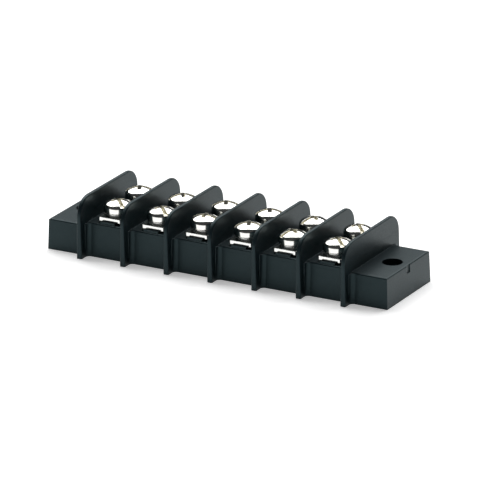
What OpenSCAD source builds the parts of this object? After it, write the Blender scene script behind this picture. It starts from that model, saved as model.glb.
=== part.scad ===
// Barrier terminal strip: a one-piece moulding with upright barriers, one plated strap
// to each circuit, and two captive-washer screws on each strap.
// Millimetres. X runs along the strip, Y across it, and Z up from the underside, with the
// origin in the middle of the underside.

/* [Layout] */
// Number of circuits, one strap and two screws each
circuits = 6; // [2:1:11]
// Distance between neighbouring circuits
pitch = 9.525; // [9:0.005:14]
// Distance between the two rows of screws
row_spacing = 8.3; // [7.4:0.1:12]

/* [Moulding] */
// Front-to-back width of the body at the underside
body_depth = 17.7; // [16.4:0.1:24]
// Height of the body between the barriers
floor_height = 6.8; // [6.4:0.1:10]
// Height of the two mounting ears
ear_height = 6.15; // [3:0.05:6.4]
// Length of an ear at the underside, from the middle of the outermost barrier
ear_length = 8.25; // [7:0.05:14]
// Slope of the outer walls, in degrees, that lets the moulding leave its die
draft_angle = 1.7; // [0:0.1:3]
// Rounding along the top edges of the body
edge_radius = 0.3; // [0.1:0.05:0.6]
// Width of the raised rail that each strap lies on
rail_width = 3.2; // [2:0.1:4.5]
// Height of that rail above the body
rail_height = 0.4; // [0.2:0.05:1]

/* [Barriers] */
// Front-to-back width of a barrier
barrier_depth = 22.4; // [21:0.1:30]
// Height of a barrier above the underside
barrier_height = 12.05; // [11:0.05:18]
// Thickness of a barrier at the underside
barrier_foot = 1.15; // [0.9:0.05:1.6]
// Thickness of a barrier above the start of its upper corners
barrier_crest = 0.8; // [0.7:0.05:1.2]
// Radius of a barrier's two upper corners
corner_radius = 3.7; // [2:0.1:5]
// Rounding along a barrier's edges
barrier_edge = 0.25; // [0.1:0.05:0.3]
// Radius of the fillet where a barrier's rib meets the body
root_fillet = 0.9; // [0.2:0.05:1.2]

/* [Gate mark] */
// Width of the shallow mark in the top edge of one end
gate_width = 1.3; // [0.8:0.1:2.5]
// Height of that mark
gate_height = 1.6; // [0.8:0.1:2.5]
// Depth of that mark
gate_depth = 0.15; // [0.05:0.05:0.3]

/* [Mounting] */
// Diameter of the hole in each ear
mount_hole = 4; // [3:0.1:5]
// Distance from the middle of the outermost barrier to the hole
mount_inset = 4.7; // [4:0.05:8]

/* [Straps] */
// Length of a strap across the body
strap_length = 15.4; // [14:0.1:20]
// Width of a strap
strap_width = 5; // [4.6:0.1:7]
// Thickness of a strap
strap_thickness = 0.7; // [0.4:0.05:1.2]
// Rounding of a strap's corners, seen from above
strap_corner = 0.4; // [0.1:0.05:1]
// Outside diameter of the tapped collars under a strap
collar_diameter = 4; // [3.8:0.1:5]
// Length of those collars
collar_length = 2; // [1:0.1:4]

/* [Screws] */
// Thread diameter
thread_diameter = 3; // [2:0.1:3.5]
// Length of a screw under its head
screw_length = 6; // [4:0.5:8]
// Diameter of the pan head
head_diameter = 5.6; // [5.2:0.1:7]
// Height of the pan head
head_height = 2.3; // [1.6:0.05:3]
// Radius of the shallow dome on top of the head
crown_radius = 4.6; // [3.6:0.1:8]
// Radius that blends the dome into the side of the head
shoulder_radius = 0.9; // [0.4:0.05:1.2]
// Width of the slot and of the cross recess
slot_width = 0.8; // [0.5:0.05:1.2]
// Depth of the slot below the top of the head
slot_depth = 1.0; // [0.5:0.05:1.4]
// Width of the cross recess from tip to tip
recess_span = 3.2; // [2:0.1:4]
// Depth of the cross recess below the top of the head
recess_depth = 1.5; // [1:0.05:1.8]

/* [Washers] */
// Outside diameter of the captive washer
washer_diameter = 5.25; // [4.6:0.05:7]
// Thickness of the washer
washer_thickness = 0.6; // [0.3:0.05:1]
// Hole in the washer
washer_hole = 3.3; // [3.1:0.1:4]
// Rounding of the washer's stamped rim
washer_edge = 0.15; // [0.05:0.05:0.25]

/* [Fits] */
// Gap all round between a screw and the tapped hole of its strap
thread_clearance = 0.05; // [0.02:0.01:0.1]
// Gap all round between a collar and its socket in the moulding
socket_clearance = 0.03; // [0.01:0.01:0.1]

/* [Hidden] */
$fn = 64;
// Overlap that joins two solids of one piece
bite = 0.2;
// Step that keeps two curved faces from nearly coinciding
hair = 0.01;

circuit_numbers = [1 : circuits];
// Angle of each screw's slot, as the screws happened to stop when they were tightened
front_slots = [-42, -42, 10, 27, 60, -42];
rear_slots = [27, 40, 27, 30, 60, -42];

barrier_span = circuits * pitch;
barrier_places = [for (i = [0 : circuits]) i * pitch - barrier_span / 2];
body_length = barrier_span + 2 * ear_length;
mount_spacing = barrier_span + 2 * mount_inset;

rail_top = floor_height + rail_height;
strap_top = rail_top + strap_thickness;
head_seat = strap_top + washer_thickness;
screw_row = row_spacing / 2;

thread_radius = thread_diameter / 2;
head_radius = head_diameter / 2;
tapped_radius = thread_radius + thread_clearance;
collar_radius = collar_diameter / 2;
socket_radius = collar_radius + socket_clearance;

function circuit_x(i) = (i - (circuits + 1) / 2) * pitch;
function slot_angle(list, i) = list[(i - 1) % len(list)];

// ---------- moulding ----------

// Upright section of a drafted block, with its two upper corners rounded
module drafted_section(width, height, inside) {
    lean = height * tan(draft_angle);
    half = width / 2;
    // The arc's centre lies one radius in from the top and from the sloping side
    reach = edge_radius / cos(draft_angle);
    arc_x = half - lean - reach + edge_radius * tan(draft_angle);
    arc_z = height - edge_radius;
    // The side runs up to just inside the arc, so that the two cross cleanly
    side_x = arc_x + inside * edge_radius;
    polygon([
        [-half, 0], [half, 0], [side_x, arc_z], [arc_x, arc_z], [arc_x, height],
        [-arc_x, height], [-arc_x, arc_z], [-side_x, arc_z]
    ]);
    for (s = [-1, 1]) translate([s * arc_x, arc_z]) circle(edge_radius);
}

// The two sections cross their arcs at different heights, which keeps each corner clean
module drafted_block(length, depth, height) {
    intersection() {
        rotate([90, 0, 0])
            linear_extrude(depth + 2 * bite, center = true)
                drafted_section(length, height, 0.98);
        rotate([90, 0, 90])
            linear_extrude(length + 2 * bite, center = true)
                drafted_section(depth, height, 0.96);
    }
}

// Half of a plate's section: from its middle out to a free edge with rounded corners
module plate_half(reach, thickness) {
    inner = thickness / 2 - barrier_edge;
    translate([0, -thickness / 2]) square([reach - barrier_edge, thickness]);
    translate([0, -inner]) square([reach, 2 * inner]);
    for (s = [-1, 1]) translate([reach - barrier_edge, s * inner]) circle(barrier_edge);
}

// A plate with rounded edges. It is thickest at the foot, and keeps one thickness from
// the start of its upper corners to the crest. That upper part is a hair thinner than the
// top of the foot part, so that the two never quite touch along a curve.
module barrier() {
    shoulder = barrier_height - corner_radius;
    straight = barrier_depth / 2 - corner_radius;
    thickness = barrier_crest - 2 * hair;
    barrier_foot_part(shoulder);
    translate([0, 0, shoulder - bite])
        rotate([0, -90, 90])
            linear_extrude(2 * straight, center = true)
                plate_half(corner_radius + bite, thickness);
    for (s = [0, 1]) mirror([0, s, 0])
        translate([0, straight, shoulder])
            rotate([0, -90, 0])
                rotate_extrude(angle = 90) plate_half(corner_radius - hair, thickness);
}

// The tapering part of a barrier. Its rounded edges lean with the faces, so it is made
// a little too long and cut off square at both ends.
module barrier_foot_part(height) {
    foot = barrier_foot / 2;
    taper = atan((foot - barrier_crest / 2) / height);
    inset = barrier_edge / cos(taper);
    intersection() {
        union() {
            tapered_slab(0, barrier_depth - 2 * barrier_edge, height, taper);
            tapered_slab(inset, barrier_depth, height, taper);
            for (sx = [0, 1], sy = [0, 1]) mirror([sx, 0, 0]) mirror([0, sy, 0])
                translate([foot - inset, barrier_depth / 2 - barrier_edge, 0])
                    rotate([0, -taper, 0])
                        translate([0, 0, -bite])
                            cylinder(h = height / cos(taper) + 2 * bite, r = barrier_edge);
        }
        translate([-barrier_foot, -barrier_depth, 0])
            cube([2 * barrier_foot, 2 * barrier_depth, height]);
    }
}

// One slab of the barrier's taper, set in from its faces and running past both ends
module tapered_slab(inset, depth, height, taper) {
    low = barrier_foot / 2 - inset + bite * tan(taper);
    high = barrier_foot / 2 - inset - (height + bite) * tan(taper);
    rotate([90, 0, 0])
        linear_extrude(depth, center = true)
            polygon([[-low, -bite], [low, -bite], [high, height + bite], [-high, height + bite]]);
}

// Concave fillet where one side of a rib meets the front or back of the body. Its curve
// meets both walls at a slight angle, and so ends in a clean edge.
module root_fillet_strip(wall_height) {
    rotate([draft_angle, 0, 0])
        linear_extrude(wall_height - edge_radius / 3)
            difference() {
                translate([-bite, -bite]) square(root_fillet + bite);
                translate([root_fillet, root_fillet]) circle(root_fillet * 1.01);
            }
}

// The fillets of all the ribs. The two outermost sides meet an ear, which is lower.
module root_fillets() {
    for (i = [0 : circuits], sx = [0, 1], sy = [0, 1]) {
        outer = (i == 0 && sx == 1) || (i == circuits && sx == 0);
        translate([barrier_places[i], 0, 0])
            mirror([sx, 0, 0]) mirror([0, sy, 0])
                translate([barrier_foot / 2, body_depth / 2, 0])
                    root_fillet_strip(outer ? ear_height : floor_height);
    }
}

module base() {
    color("#1d2226")
    difference() {
        union() {
            drafted_block(body_length, body_depth, ear_height);
            intersection() {
                drafted_block(body_length, body_depth, floor_height);
                translate([-barrier_span / 2, -body_depth, 0])
                    cube([barrier_span, 2 * body_depth, floor_height]);
            }
            for (x = barrier_places) translate([x, 0, 0]) barrier();
            root_fillets();
            for (i = circuit_numbers) translate([circuit_x(i), 0, 0]) rail();
        }
        for (i = circuit_numbers, s = [-1, 1])
            translate([circuit_x(i), s * screw_row, -bite])
                cylinder(h = rail_top + 2 * bite, r = socket_radius);
        for (s = [-1, 1])
            translate([s * mount_spacing / 2, 0, -bite])
                cylinder(h = ear_height + 2 * bite, d = mount_hole);
        gate_mark();
        // The leaning fillets start a little below the underside
        translate([-body_length, -barrier_depth, -2 * bite])
            cube([2 * body_length, 2 * barrier_depth, 2 * bite]);
    }
}

// Where the compound entered the die, at the end towards +X
module gate_mark() {
    reach = body_length / 2 - ear_height * tan(draft_angle) - gate_depth;
    translate([reach, -gate_width / 2, ear_height - gate_height])
        cube([ear_length, gate_width, gate_height + bite]);
}

// Raised rail under one strap, flush with the top of the body's front and back
module rail() {
    depth = body_depth - 2 * floor_height * tan(draft_angle) - 2 * edge_radius;
    translate([-rail_width / 2, -depth / 2, floor_height - bite])
        cube([rail_width, depth, rail_height + bite]);
}

// ---------- metal parts ----------

module strap(i) {
    color("#d9dbd8")
    translate([circuit_x(i), 0, rail_top])
        difference() {
            union() {
                linear_extrude(strap_thickness) strap_outline();
                for (s = [-1, 1])
                    translate([0, s * screw_row, -collar_length])
                        cylinder(h = collar_length + strap_thickness / 2, r = collar_radius);
            }
            for (s = [-1, 1])
                translate([0, s * screw_row, -collar_length - bite])
                    cylinder(h = collar_length + strap_thickness + 2 * bite, r = tapped_radius);
        }
}

module strap_outline() {
    across = strap_width - 2 * strap_corner;
    along = strap_length - 2 * strap_corner;
    square([across, strap_length], center = true);
    square([strap_width, along], center = true);
    for (sx = [-1, 1], sy = [-1, 1])
        translate([sx * across / 2, sy * along / 2]) circle(strap_corner);
}

module washer(i, side) {
    rim = washer_diameter / 2;
    color("#c9ccc9")
    translate([circuit_x(i), side * screw_row, strap_top])
        rotate_extrude() {
            translate([washer_hole / 2, 0])
                square([rim - washer_edge - washer_hole / 2, washer_thickness]);
            translate([washer_hole / 2, 0])
                square([rim - washer_hole / 2, washer_thickness - washer_edge]);
            translate([rim - washer_edge, washer_thickness - washer_edge]) circle(washer_edge);
        }
}

// Half section of the pan head: straight side, blended shoulder and shallow dome
module head_section() {
    crown_centre = head_height - crown_radius;
    blend_x = head_radius - shoulder_radius;
    blend_z = crown_centre + sqrt(pow(crown_radius - shoulder_radius, 2) - pow(blend_x, 2));
    meet_x = crown_radius * blend_x / (crown_radius - shoulder_radius);
    square([head_radius, blend_z]);
    translate([blend_x, blend_z])
        intersection() {
            circle(shoulder_radius);
            square(shoulder_radius);
        }
    intersection() {
        translate([0, crown_centre]) circle(crown_radius);
        square([meet_x, head_height]);
    }
}

// One wing of the cross recess, narrower at the bottom
module recess_wing() {
    top = recess_span / 2;
    bottom = recess_span / 5;
    rotate([90, 0, 0])
        linear_extrude(slot_width, center = true)
            polygon([[-top, bite], [top, bite], [bottom, -recess_depth], [-bottom, -recess_depth]]);
}

module screw(i, side, angle) {
    color("#e2e3df")
    translate([circuit_x(i), side * screw_row, head_seat]) {
        difference() {
            rotate_extrude() head_section();
            translate([0, 0, head_height]) rotate([0, 0, angle]) {
                translate([-head_diameter, -slot_width / 2, -slot_depth])
                    cube([2 * head_diameter, slot_width, slot_depth + bite]);
                recess_wing();
                rotate([0, 0, 90]) recess_wing();
            }
        }
        translate([0, 0, -screw_length])
            cylinder(h = screw_length + bite, r = thread_radius);
    }
}

base();
for (i = circuit_numbers) {
    strap(i);
    washer(i, -1);
    washer(i, 1);
    screw(i, -1, slot_angle(front_slots, i));
    screw(i, 1, slot_angle(rear_slots, i));
}
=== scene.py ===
"""Looks of a barrier terminal strip: finishes, threaded screws, and a panel lamp over a floor."""
import math

import bmesh
import bpy
from mathutils import Matrix, Vector

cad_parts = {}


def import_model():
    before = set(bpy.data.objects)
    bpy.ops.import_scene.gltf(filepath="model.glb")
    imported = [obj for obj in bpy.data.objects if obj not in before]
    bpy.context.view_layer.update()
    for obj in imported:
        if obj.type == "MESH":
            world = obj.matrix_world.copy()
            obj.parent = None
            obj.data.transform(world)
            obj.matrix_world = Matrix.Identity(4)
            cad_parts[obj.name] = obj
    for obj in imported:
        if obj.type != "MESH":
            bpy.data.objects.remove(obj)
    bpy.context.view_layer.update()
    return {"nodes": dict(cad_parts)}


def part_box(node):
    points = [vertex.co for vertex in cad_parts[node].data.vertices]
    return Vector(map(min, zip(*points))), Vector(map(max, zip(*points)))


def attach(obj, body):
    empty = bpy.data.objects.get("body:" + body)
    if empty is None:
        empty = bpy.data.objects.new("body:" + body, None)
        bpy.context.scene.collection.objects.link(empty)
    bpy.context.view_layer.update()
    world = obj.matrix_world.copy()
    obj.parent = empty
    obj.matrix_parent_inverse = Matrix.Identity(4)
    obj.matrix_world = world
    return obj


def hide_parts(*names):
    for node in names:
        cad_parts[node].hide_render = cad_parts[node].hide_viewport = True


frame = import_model()

MM = 0.001
SIDES = ("front", "rear")
CIRCUITS = sum(1 for name in frame["nodes"] if name.startswith("strap_"))


# ---------- shader helpers ----------

class Nodes:
    """A material's node tree, with short calls to add and join its nodes."""

    def __init__(self, name):
        self.material = bpy.data.materials.new(name)
        self.material.use_nodes = True
        self.tree = self.material.node_tree
        self.shader = self.tree.nodes["Principled BSDF"]

    def add(self, kind, **settings):
        node = self.tree.nodes.new(kind)
        for key, value in settings.items():
            setattr(node, key, value)
        return node

    def join(self, source, target):
        self.tree.links.new(source, target)

    def noise(self, scale, detail=3.0, stretch=(1.0, 1.0, 1.0)):
        """Noise over the object's own coordinates, with scale in cycles a metre."""
        place = self.add("ShaderNodeTexCoord")
        mapping = self.add("ShaderNodeMapping")
        mapping.inputs["Scale"].default_value = stretch
        noise = self.add("ShaderNodeTexNoise")
        noise.inputs["Scale"].default_value = scale
        noise.inputs["Detail"].default_value = detail
        self.join(place.outputs["Object"], mapping.inputs["Vector"])
        self.join(mapping.outputs["Vector"], noise.inputs["Vector"])
        return noise.outputs["Fac"]

    def spread(self, source, low, high, start=0.3, end=0.7):
        """Maps a noise value to a range."""
        node = self.add("ShaderNodeMapRange")
        node.inputs["From Min"].default_value = start
        node.inputs["From Max"].default_value = end
        node.inputs["To Min"].default_value = low
        node.inputs["To Max"].default_value = high
        self.join(source, node.inputs["Value"])
        return node.outputs["Result"]

    def blend(self, factor, first, second):
        """A colour between two others, each a colour or another node's output."""
        mix = self.add("ShaderNodeMix", data_type="RGBA")
        for socket, colour in ((mix.inputs["A"], first), (mix.inputs["B"], second)):
            if isinstance(colour, tuple):
                socket.default_value = (*colour, 1.0)
            else:
                self.join(colour, socket)
        self.join(factor, mix.inputs["Factor"])
        return mix.outputs["Result"]

    def bump(self, height, distance, strength, before=None):
        node = self.add("ShaderNodeBump")
        node.inputs["Strength"].default_value = strength
        node.inputs["Distance"].default_value = distance
        self.join(height, node.inputs["Height"])
        if before is not None:
            self.join(before, node.inputs["Normal"])
        return node.outputs["Normal"]

    def rounded(self, radius):
        """A normal that rounds sharp edges by the given radius."""
        node = self.add("ShaderNodeBevel", samples=6)
        node.inputs["Radius"].default_value = radius
        return node.outputs["Normal"]

    def edge_mask(self, rounded, start, end):
        """0 on flat ground and 1 at a sharp edge, from how far the rounded normal turns."""
        place = self.add("ShaderNodeNewGeometry")
        dot = self.add("ShaderNodeVectorMath", operation="DOT_PRODUCT")
        self.join(rounded, dot.inputs[0])
        self.join(place.outputs["Normal"], dot.inputs[1])
        return self.spread(dot.outputs["Value"], 0.0, 1.0, 1.0 - start, 1.0 - end)


def moulding_material():
    """Black moulding compound: a fine pebbled grain, a cloudy tone, and a painted highlight of
    paler colour along its edges.
    """
    n = Nodes("black_moulding")
    cloud = n.noise(scale=240.0, detail=4.0)
    grain = n.noise(scale=5200.0, detail=2.0)
    edge = n.rounded(radius=0.12 * MM)
    ground = n.blend(n.spread(cloud, 0.0, 1.0), (0.004, 0.009, 0.012), (0.008, 0.015, 0.018))
    # Painted highlight: a paler colour on the edges stands in for light catching the rounded
    # edges.
    painted_edge_highlight = n.blend(n.edge_mask(edge, start=0.02, end=0.30), ground, (0.060, 0.080, 0.086))
    n.join(painted_edge_highlight, n.shader.inputs["Base Color"])
    n.join(n.spread(grain, low=0.34, high=0.46), n.shader.inputs["Roughness"])
    n.shader.inputs["Specular IOR Level"].default_value = 0.36
    n.shader.inputs["Specular Tint"].default_value = (0.66, 0.95, 1.0, 1.0)
    grained = n.bump(grain, distance=0.03 * MM, strength=0.30, before=edge)
    n.join(grained, n.shader.inputs["Normal"])
    return n.material


def plated_material(name, colour, roughness, scratch):
    """Bright nickel plate with faint rolling marks and a mottled sheen."""
    n = Nodes(name)
    marks = n.noise(scale=2600.0, stretch=(1.0, 0.12, 1.0))
    mottle = n.noise(scale=900.0)
    dull = tuple(c * 0.90 for c in colour)
    n.join(n.blend(n.spread(mottle, 0.0, 1.0), dull, colour), n.shader.inputs["Base Color"])
    n.join(n.spread(mottle, roughness * 0.7, roughness * 1.5), n.shader.inputs["Roughness"])
    n.shader.inputs["Metallic"].default_value = 1.0
    edge = n.rounded(radius=0.06 * MM)
    marked = n.bump(marks, distance=0.01 * MM, strength=scratch, before=edge)
    n.join(marked, n.shader.inputs["Normal"])
    return n.material


def repaint(material, *prefixes):
    """Gives a material to every CAD node whose name starts with one of the prefixes."""
    for name, node in frame["nodes"].items():
        if name.startswith(prefixes):
            node.data.materials.clear()
            node.data.materials.append(material)


# ---------- screws ----------

# The sizes of the screws in millimetres, measured from the seat under the head
HEAD_RADIUS = 2.8
HEAD_HEIGHT = 2.3
CROWN_RADIUS = 4.6
SHOULDER_RADIUS = 0.9
SEAT_CHAMFER = 0.08
EDGE_BEVEL = 0.06
SLOT_WIDTH = 0.8
SLOT_DEPTH = 1.0
RECESS_SPAN = 3.2
RECESS_DEPTH = 1.5
CUTTER_REACH = 4.0
CUTTER_RISE = 0.3
SCREW_LENGTH = 6.0
THREAD_PITCH = 0.5
CREST_RADIUS = 1.5
ROOT_RADIUS = 1.19
# How far the thread runs up into the head, and how much its tip is narrower than its root
THREAD_BITE = 0.05
TIP_CHAMFER = 0.05
# Heights of the thread's rows, in turns, with the radius of each
THREAD_ROWS = ((0.0, CREST_RADIUS), (0.125, CREST_RADIUS),
               (0.4375, ROOT_RADIUS), (0.6875, ROOT_RADIUS))
# Points closer than this, to each other or to the axis, are one point
MERGE = 1e-4
# Faces that meet at more than this many degrees are bevelled, or shaded sharp
BEVEL_ANGLE = 28
SHARP_ANGLE = 35
# How far each slot is turned, in degrees, from the -X end to the +X end
SLOT_ANGLES = {"front": (-42, -42, 10, 27, 60, -42), "rear": (27, 40, 27, 30, 60, -42)}


def arc(centre_x, centre_z, radius, start, end, steps):
    """Points on an arc in the XZ plane, with angles in degrees from +X."""
    turns = [math.radians(start + (end - start) * k / steps) for k in range(steps + 1)]
    return [(centre_x + radius * math.cos(t), centre_z + radius * math.sin(t)) for t in turns]


def head_outline():
    """Outer line of the pan head, from the seat to the middle of the crown."""
    crown_z = HEAD_HEIGHT - CROWN_RADIUS
    blend_x = HEAD_RADIUS - SHOULDER_RADIUS
    blend_z = crown_z + math.sqrt((CROWN_RADIUS - SHOULDER_RADIUS) ** 2 - blend_x ** 2)
    meet = math.degrees(math.atan2(blend_z - crown_z, blend_x))
    side = [(0.0, 0.0), (HEAD_RADIUS - SEAT_CHAMFER, 0.0), (HEAD_RADIUS, SEAT_CHAMFER)]
    shoulder = arc(blend_x, blend_z, SHOULDER_RADIUS, 0.0, meet, 10)
    crown = arc(0.0, crown_z, CROWN_RADIUS, meet, 90.0, 10)
    return side + shoulder + crown[1:]


def lathe(points, segments):
    """A closed solid of revolution. The first and last points lie on the axis."""
    bm = bmesh.new()
    rings = []
    for x, z in points:
        if x < MERGE:
            rings.append([bm.verts.new((0.0, 0.0, z))] * segments)
            continue
        turns = [math.tau * k / segments for k in range(segments)]
        rings.append([bm.verts.new((x * math.cos(t), x * math.sin(t), z)) for t in turns])
    for low, high in zip(rings, rings[1:]):
        for k in range(segments):
            n = (k + 1) % segments
            corners = []
            for vert in (low[k], low[n], high[n], high[k]):
                if vert not in corners:
                    corners.append(vert)
            bm.faces.new(corners)
    return bm


def prism(outline, width):
    """A plate whose outline lies in the XZ plane, centred on Y."""
    bm = bmesh.new()
    near = [bm.verts.new((x, -width / 2, z)) for x, z in outline]
    far = [bm.verts.new((x, width / 2, z)) for x, z in outline]
    bm.faces.new(near)
    bm.faces.new(far[::-1])
    for k in range(len(outline)):
        n = (k + 1) % len(outline)
        bm.faces.new((near[n], near[k], far[k], far[n]))
    return bm


def thread_grid(bm, segments=40):
    """A helical thread down the shank: its rows of points climb one pitch in one turn."""
    turns = int(SCREW_LENGTH / THREAD_PITCH) + 2
    levels = [(turn + step, radius) for turn in range(-1, turns) for step, radius in THREAD_ROWS]
    grid = []
    for level, radius in levels:
        line = []
        for k in range(segments + 1):
            climb = (level + k / segments) * THREAD_PITCH - SCREW_LENGTH
            z = min(max(climb, -SCREW_LENGTH), THREAD_BITE)
            reach = min(radius, ROOT_RADIUS - TIP_CHAMFER + z + SCREW_LENGTH)
            angle = math.tau * k / segments
            line.append(bm.verts.new((reach * math.cos(angle), reach * math.sin(angle), z)))
        grid.append(line)
    for low, high in zip(grid, grid[1:]):
        for k in range(segments):
            bm.faces.new((low[k], low[k + 1], high[k + 1], high[k]))
    bmesh.ops.remove_doubles(bm, verts=bm.verts, dist=MERGE)
    bmesh.ops.dissolve_degenerate(bm, edges=bm.edges, dist=MERGE)
    tip = [e for e in bm.edges if e.is_boundary and e.verts[0].co.z < -SCREW_LENGTH / 2]
    bmesh.ops.holes_fill(bm, edges=tip, sides=0)


def to_object(bm, name, *materials):
    """An object made from a bmesh, with clean outward normals."""
    bmesh.ops.recalc_face_normals(bm, faces=bm.faces)
    mesh = bpy.data.meshes.new(name)
    bm.to_mesh(mesh)
    bm.free()
    for material in materials:
        mesh.materials.append(material)
    obj = bpy.data.objects.new(name, mesh)
    bpy.context.scene.collection.objects.link(obj)
    return obj


def recess_cutters(recess):
    """The slot and the two tapering wings of the cross, at the top of the head."""
    top = HEAD_HEIGHT + CUTTER_RISE

    def outline(bottom, depth, mouth):
        low = HEAD_HEIGHT - depth
        return [(-bottom, low), (bottom, low), (mouth, top), (-mouth, top)]

    slot = outline(CUTTER_REACH, SLOT_DEPTH, CUTTER_REACH)
    wing = outline(RECESS_SPAN / 5, RECESS_DEPTH, RECESS_SPAN / 2)
    cutters = [to_object(prism(form, SLOT_WIDTH), "cutter", recess)
               for form in (slot, wing, wing)]
    cutters[2].rotation_euler.z = math.pi / 2
    return cutters


def screw_mesh(plate, recess):
    """One screw in metres: a pan head with a slot and a cross, and a threaded shank."""
    head = to_object(lathe(head_outline(), segments=96), "head", plate)
    cutters = recess_cutters(recess)
    for cutter in cutters:
        cut = head.modifiers.new("cut", "BOOLEAN")
        cut.object, cut.solver, cut.operation = cutter, "EXACT", "DIFFERENCE"
        cut.material_mode = "TRANSFER"
    bevel = head.modifiers.new("soft_edges", "BEVEL")
    bevel.width, bevel.segments = EDGE_BEVEL, 2
    bevel.angle_limit = math.radians(BEVEL_ANGLE)
    bpy.context.view_layer.update()
    graph = bpy.context.evaluated_depsgraph_get()
    finished = bpy.data.meshes.new_from_object(head.evaluated_get(graph))
    for obj in [head] + cutters:
        bpy.data.objects.remove(obj)
    bm = bmesh.new()
    thread_grid(bm)
    bm.from_mesh(finished)
    bmesh.ops.scale(bm, vec=(MM, MM, MM), verts=bm.verts)
    for face in bm.faces:
        face.smooth = True
    bm.to_mesh(finished)
    bm.free()
    finished.set_sharp_from_angle(angle=math.radians(SHARP_ANGLE))
    finished.name = "threaded_screw"
    return finished


def add_screws(mesh):
    """Puts a threaded screw in the place of every plain one, turned as its slot is."""
    for side in SIDES:
        for i in range(1, CIRCUITS + 1):
            low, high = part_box(f"screw_{side}_{i}")
            piece = bpy.data.objects.new(f"threaded_screw_{side}_{i}", mesh)
            bpy.context.scene.collection.objects.link(piece)
            piece.location = ((low[0] + high[0]) / 2, (low[1] + high[1]) / 2,
                              high[2] - HEAD_HEIGHT * MM)
            piece.rotation_euler.z = math.radians(SLOT_ANGLES[side][i - 1])
            bpy.context.view_layer.update()
            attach(piece, f"screw_body_{side}_{i}")
            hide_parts(f"screw_{side}_{i}")


# ---------- studio ----------

def camera():
    """Long lens from the front right, a little above the strip."""
    azimuth, elevation, roll = math.radians(28.96), math.radians(19.79), math.radians(-0.52)
    back = Vector((math.sin(azimuth) * math.cos(elevation),
                   -math.cos(azimuth) * math.cos(elevation), math.sin(elevation)))
    data = bpy.data.cameras.new("camera")
    data.lens = 467.8
    data.sensor_width = 36.0
    data.clip_start, data.clip_end = 0.05, 20.0
    eye = bpy.data.objects.new("camera", data)
    bpy.context.scene.collection.objects.link(eye)
    turn = (-back).to_track_quat("-Z", "Y").to_matrix() @ Matrix.Rotation(roll, 3, "Z")
    middle, shift, distance = Vector((0.36, 0.0, 5.12)), Vector((0.145, -0.023, 0.0)), 1.190
    target = middle * MM + turn @ shift * MM
    eye.matrix_world = Matrix.Translation(target + back * distance) @ turn.to_4x4()
    bpy.context.scene.camera = eye


def lamp(name, place, size, power):
    """A rectangular soft box at place, in metres, aimed at the strip."""
    data = bpy.data.lights.new(name, "AREA")
    data.shape = "RECTANGLE"
    data.size, data.size_y = size
    data.energy = power
    obj = bpy.data.objects.new(name, data)
    bpy.context.scene.collection.objects.link(obj)
    obj.location = place
    obj.rotation_euler = (-Vector(place)).to_track_quat("-Z", "Y").to_euler()


def seen_strength(n, strength):
    """Emission that only the camera, metal and glass see, so that it lights nothing else."""
    path = n.add("ShaderNodeLightPath")
    seen = path.outputs["Is Camera Ray"]
    for ray in ("Is Glossy Ray", "Is Transmission Ray"):
        either = n.add("ShaderNodeMath", operation="MAXIMUM")
        n.join(seen, either.inputs[0])
        n.join(path.outputs[ray], either.inputs[1])
        seen = either.outputs[0]
    return n.spread(seen, 0.0, strength, 0.0, 1.0)


def world(level):
    """An even, dim room, so that most of the light is that of the panel."""
    scene_world = bpy.data.worlds.new("studio")
    bpy.context.scene.world = scene_world
    scene_world.use_nodes = True
    background = scene_world.node_tree.nodes["Background"]
    background.inputs["Color"].default_value = (0.95, 0.98, 1.0, 1.0)
    background.inputs["Strength"].default_value = level


def floor():
    """Plain pale sheet, 6 m across, just under the strip."""
    reach, drop, glow = 3.0, 0.02, 0.40
    mesh = bpy.data.meshes.new("floor")
    corners = [(-reach, -reach, 0.0), (reach, -reach, 0.0),
               (reach, reach, 0.0), (-reach, reach, 0.0)]
    mesh.from_pydata(corners, [], [(0, 1, 2, 3)])
    sheet = bpy.data.objects.new("floor", mesh)
    bpy.context.scene.collection.objects.link(sheet)
    sheet.location.z = -drop * MM
    n = Nodes("floor_paper")
    n.shader.inputs["Base Color"].default_value = (0.92, 0.92, 0.92, 1.0)
    n.shader.inputs["Roughness"].default_value = 0.9
    n.shader.inputs["Specular IOR Level"].default_value = 0.0
    n.shader.inputs["Emission Color"].default_value = (1.0, 1.0, 1.0, 1.0)
    n.join(seen_strength(n, glow), n.shader.inputs["Emission Strength"])
    mesh.materials.append(n.material)


camera()
world(level=0.05)
floor()
lamp("rear_panel", place=(-0.22, 0.42, 0.72), size=(1.5, 0.80), power=14.0)
bpy.context.scene.view_settings.view_transform = "Standard"

repaint(moulding_material(), "base")
strap_plate = plated_material("plated_strap", (0.83, 0.84, 0.81), roughness=0.12, scratch=0.25)
washer_plate = plated_material("plated_washer", (0.80, 0.81, 0.78), roughness=0.18, scratch=0.3)
screw_plate = plated_material("plated_screw", (0.84, 0.84, 0.80), roughness=0.12, scratch=0.2)
recess_plate = plated_material("plated_recess", (0.80, 0.77, 0.66), roughness=0.30, scratch=0.5)
repaint(strap_plate, "strap_")
repaint(washer_plate, "washer_")
repaint(screw_plate, "screw_")
add_screws(screw_mesh(screw_plate, recess_plate))
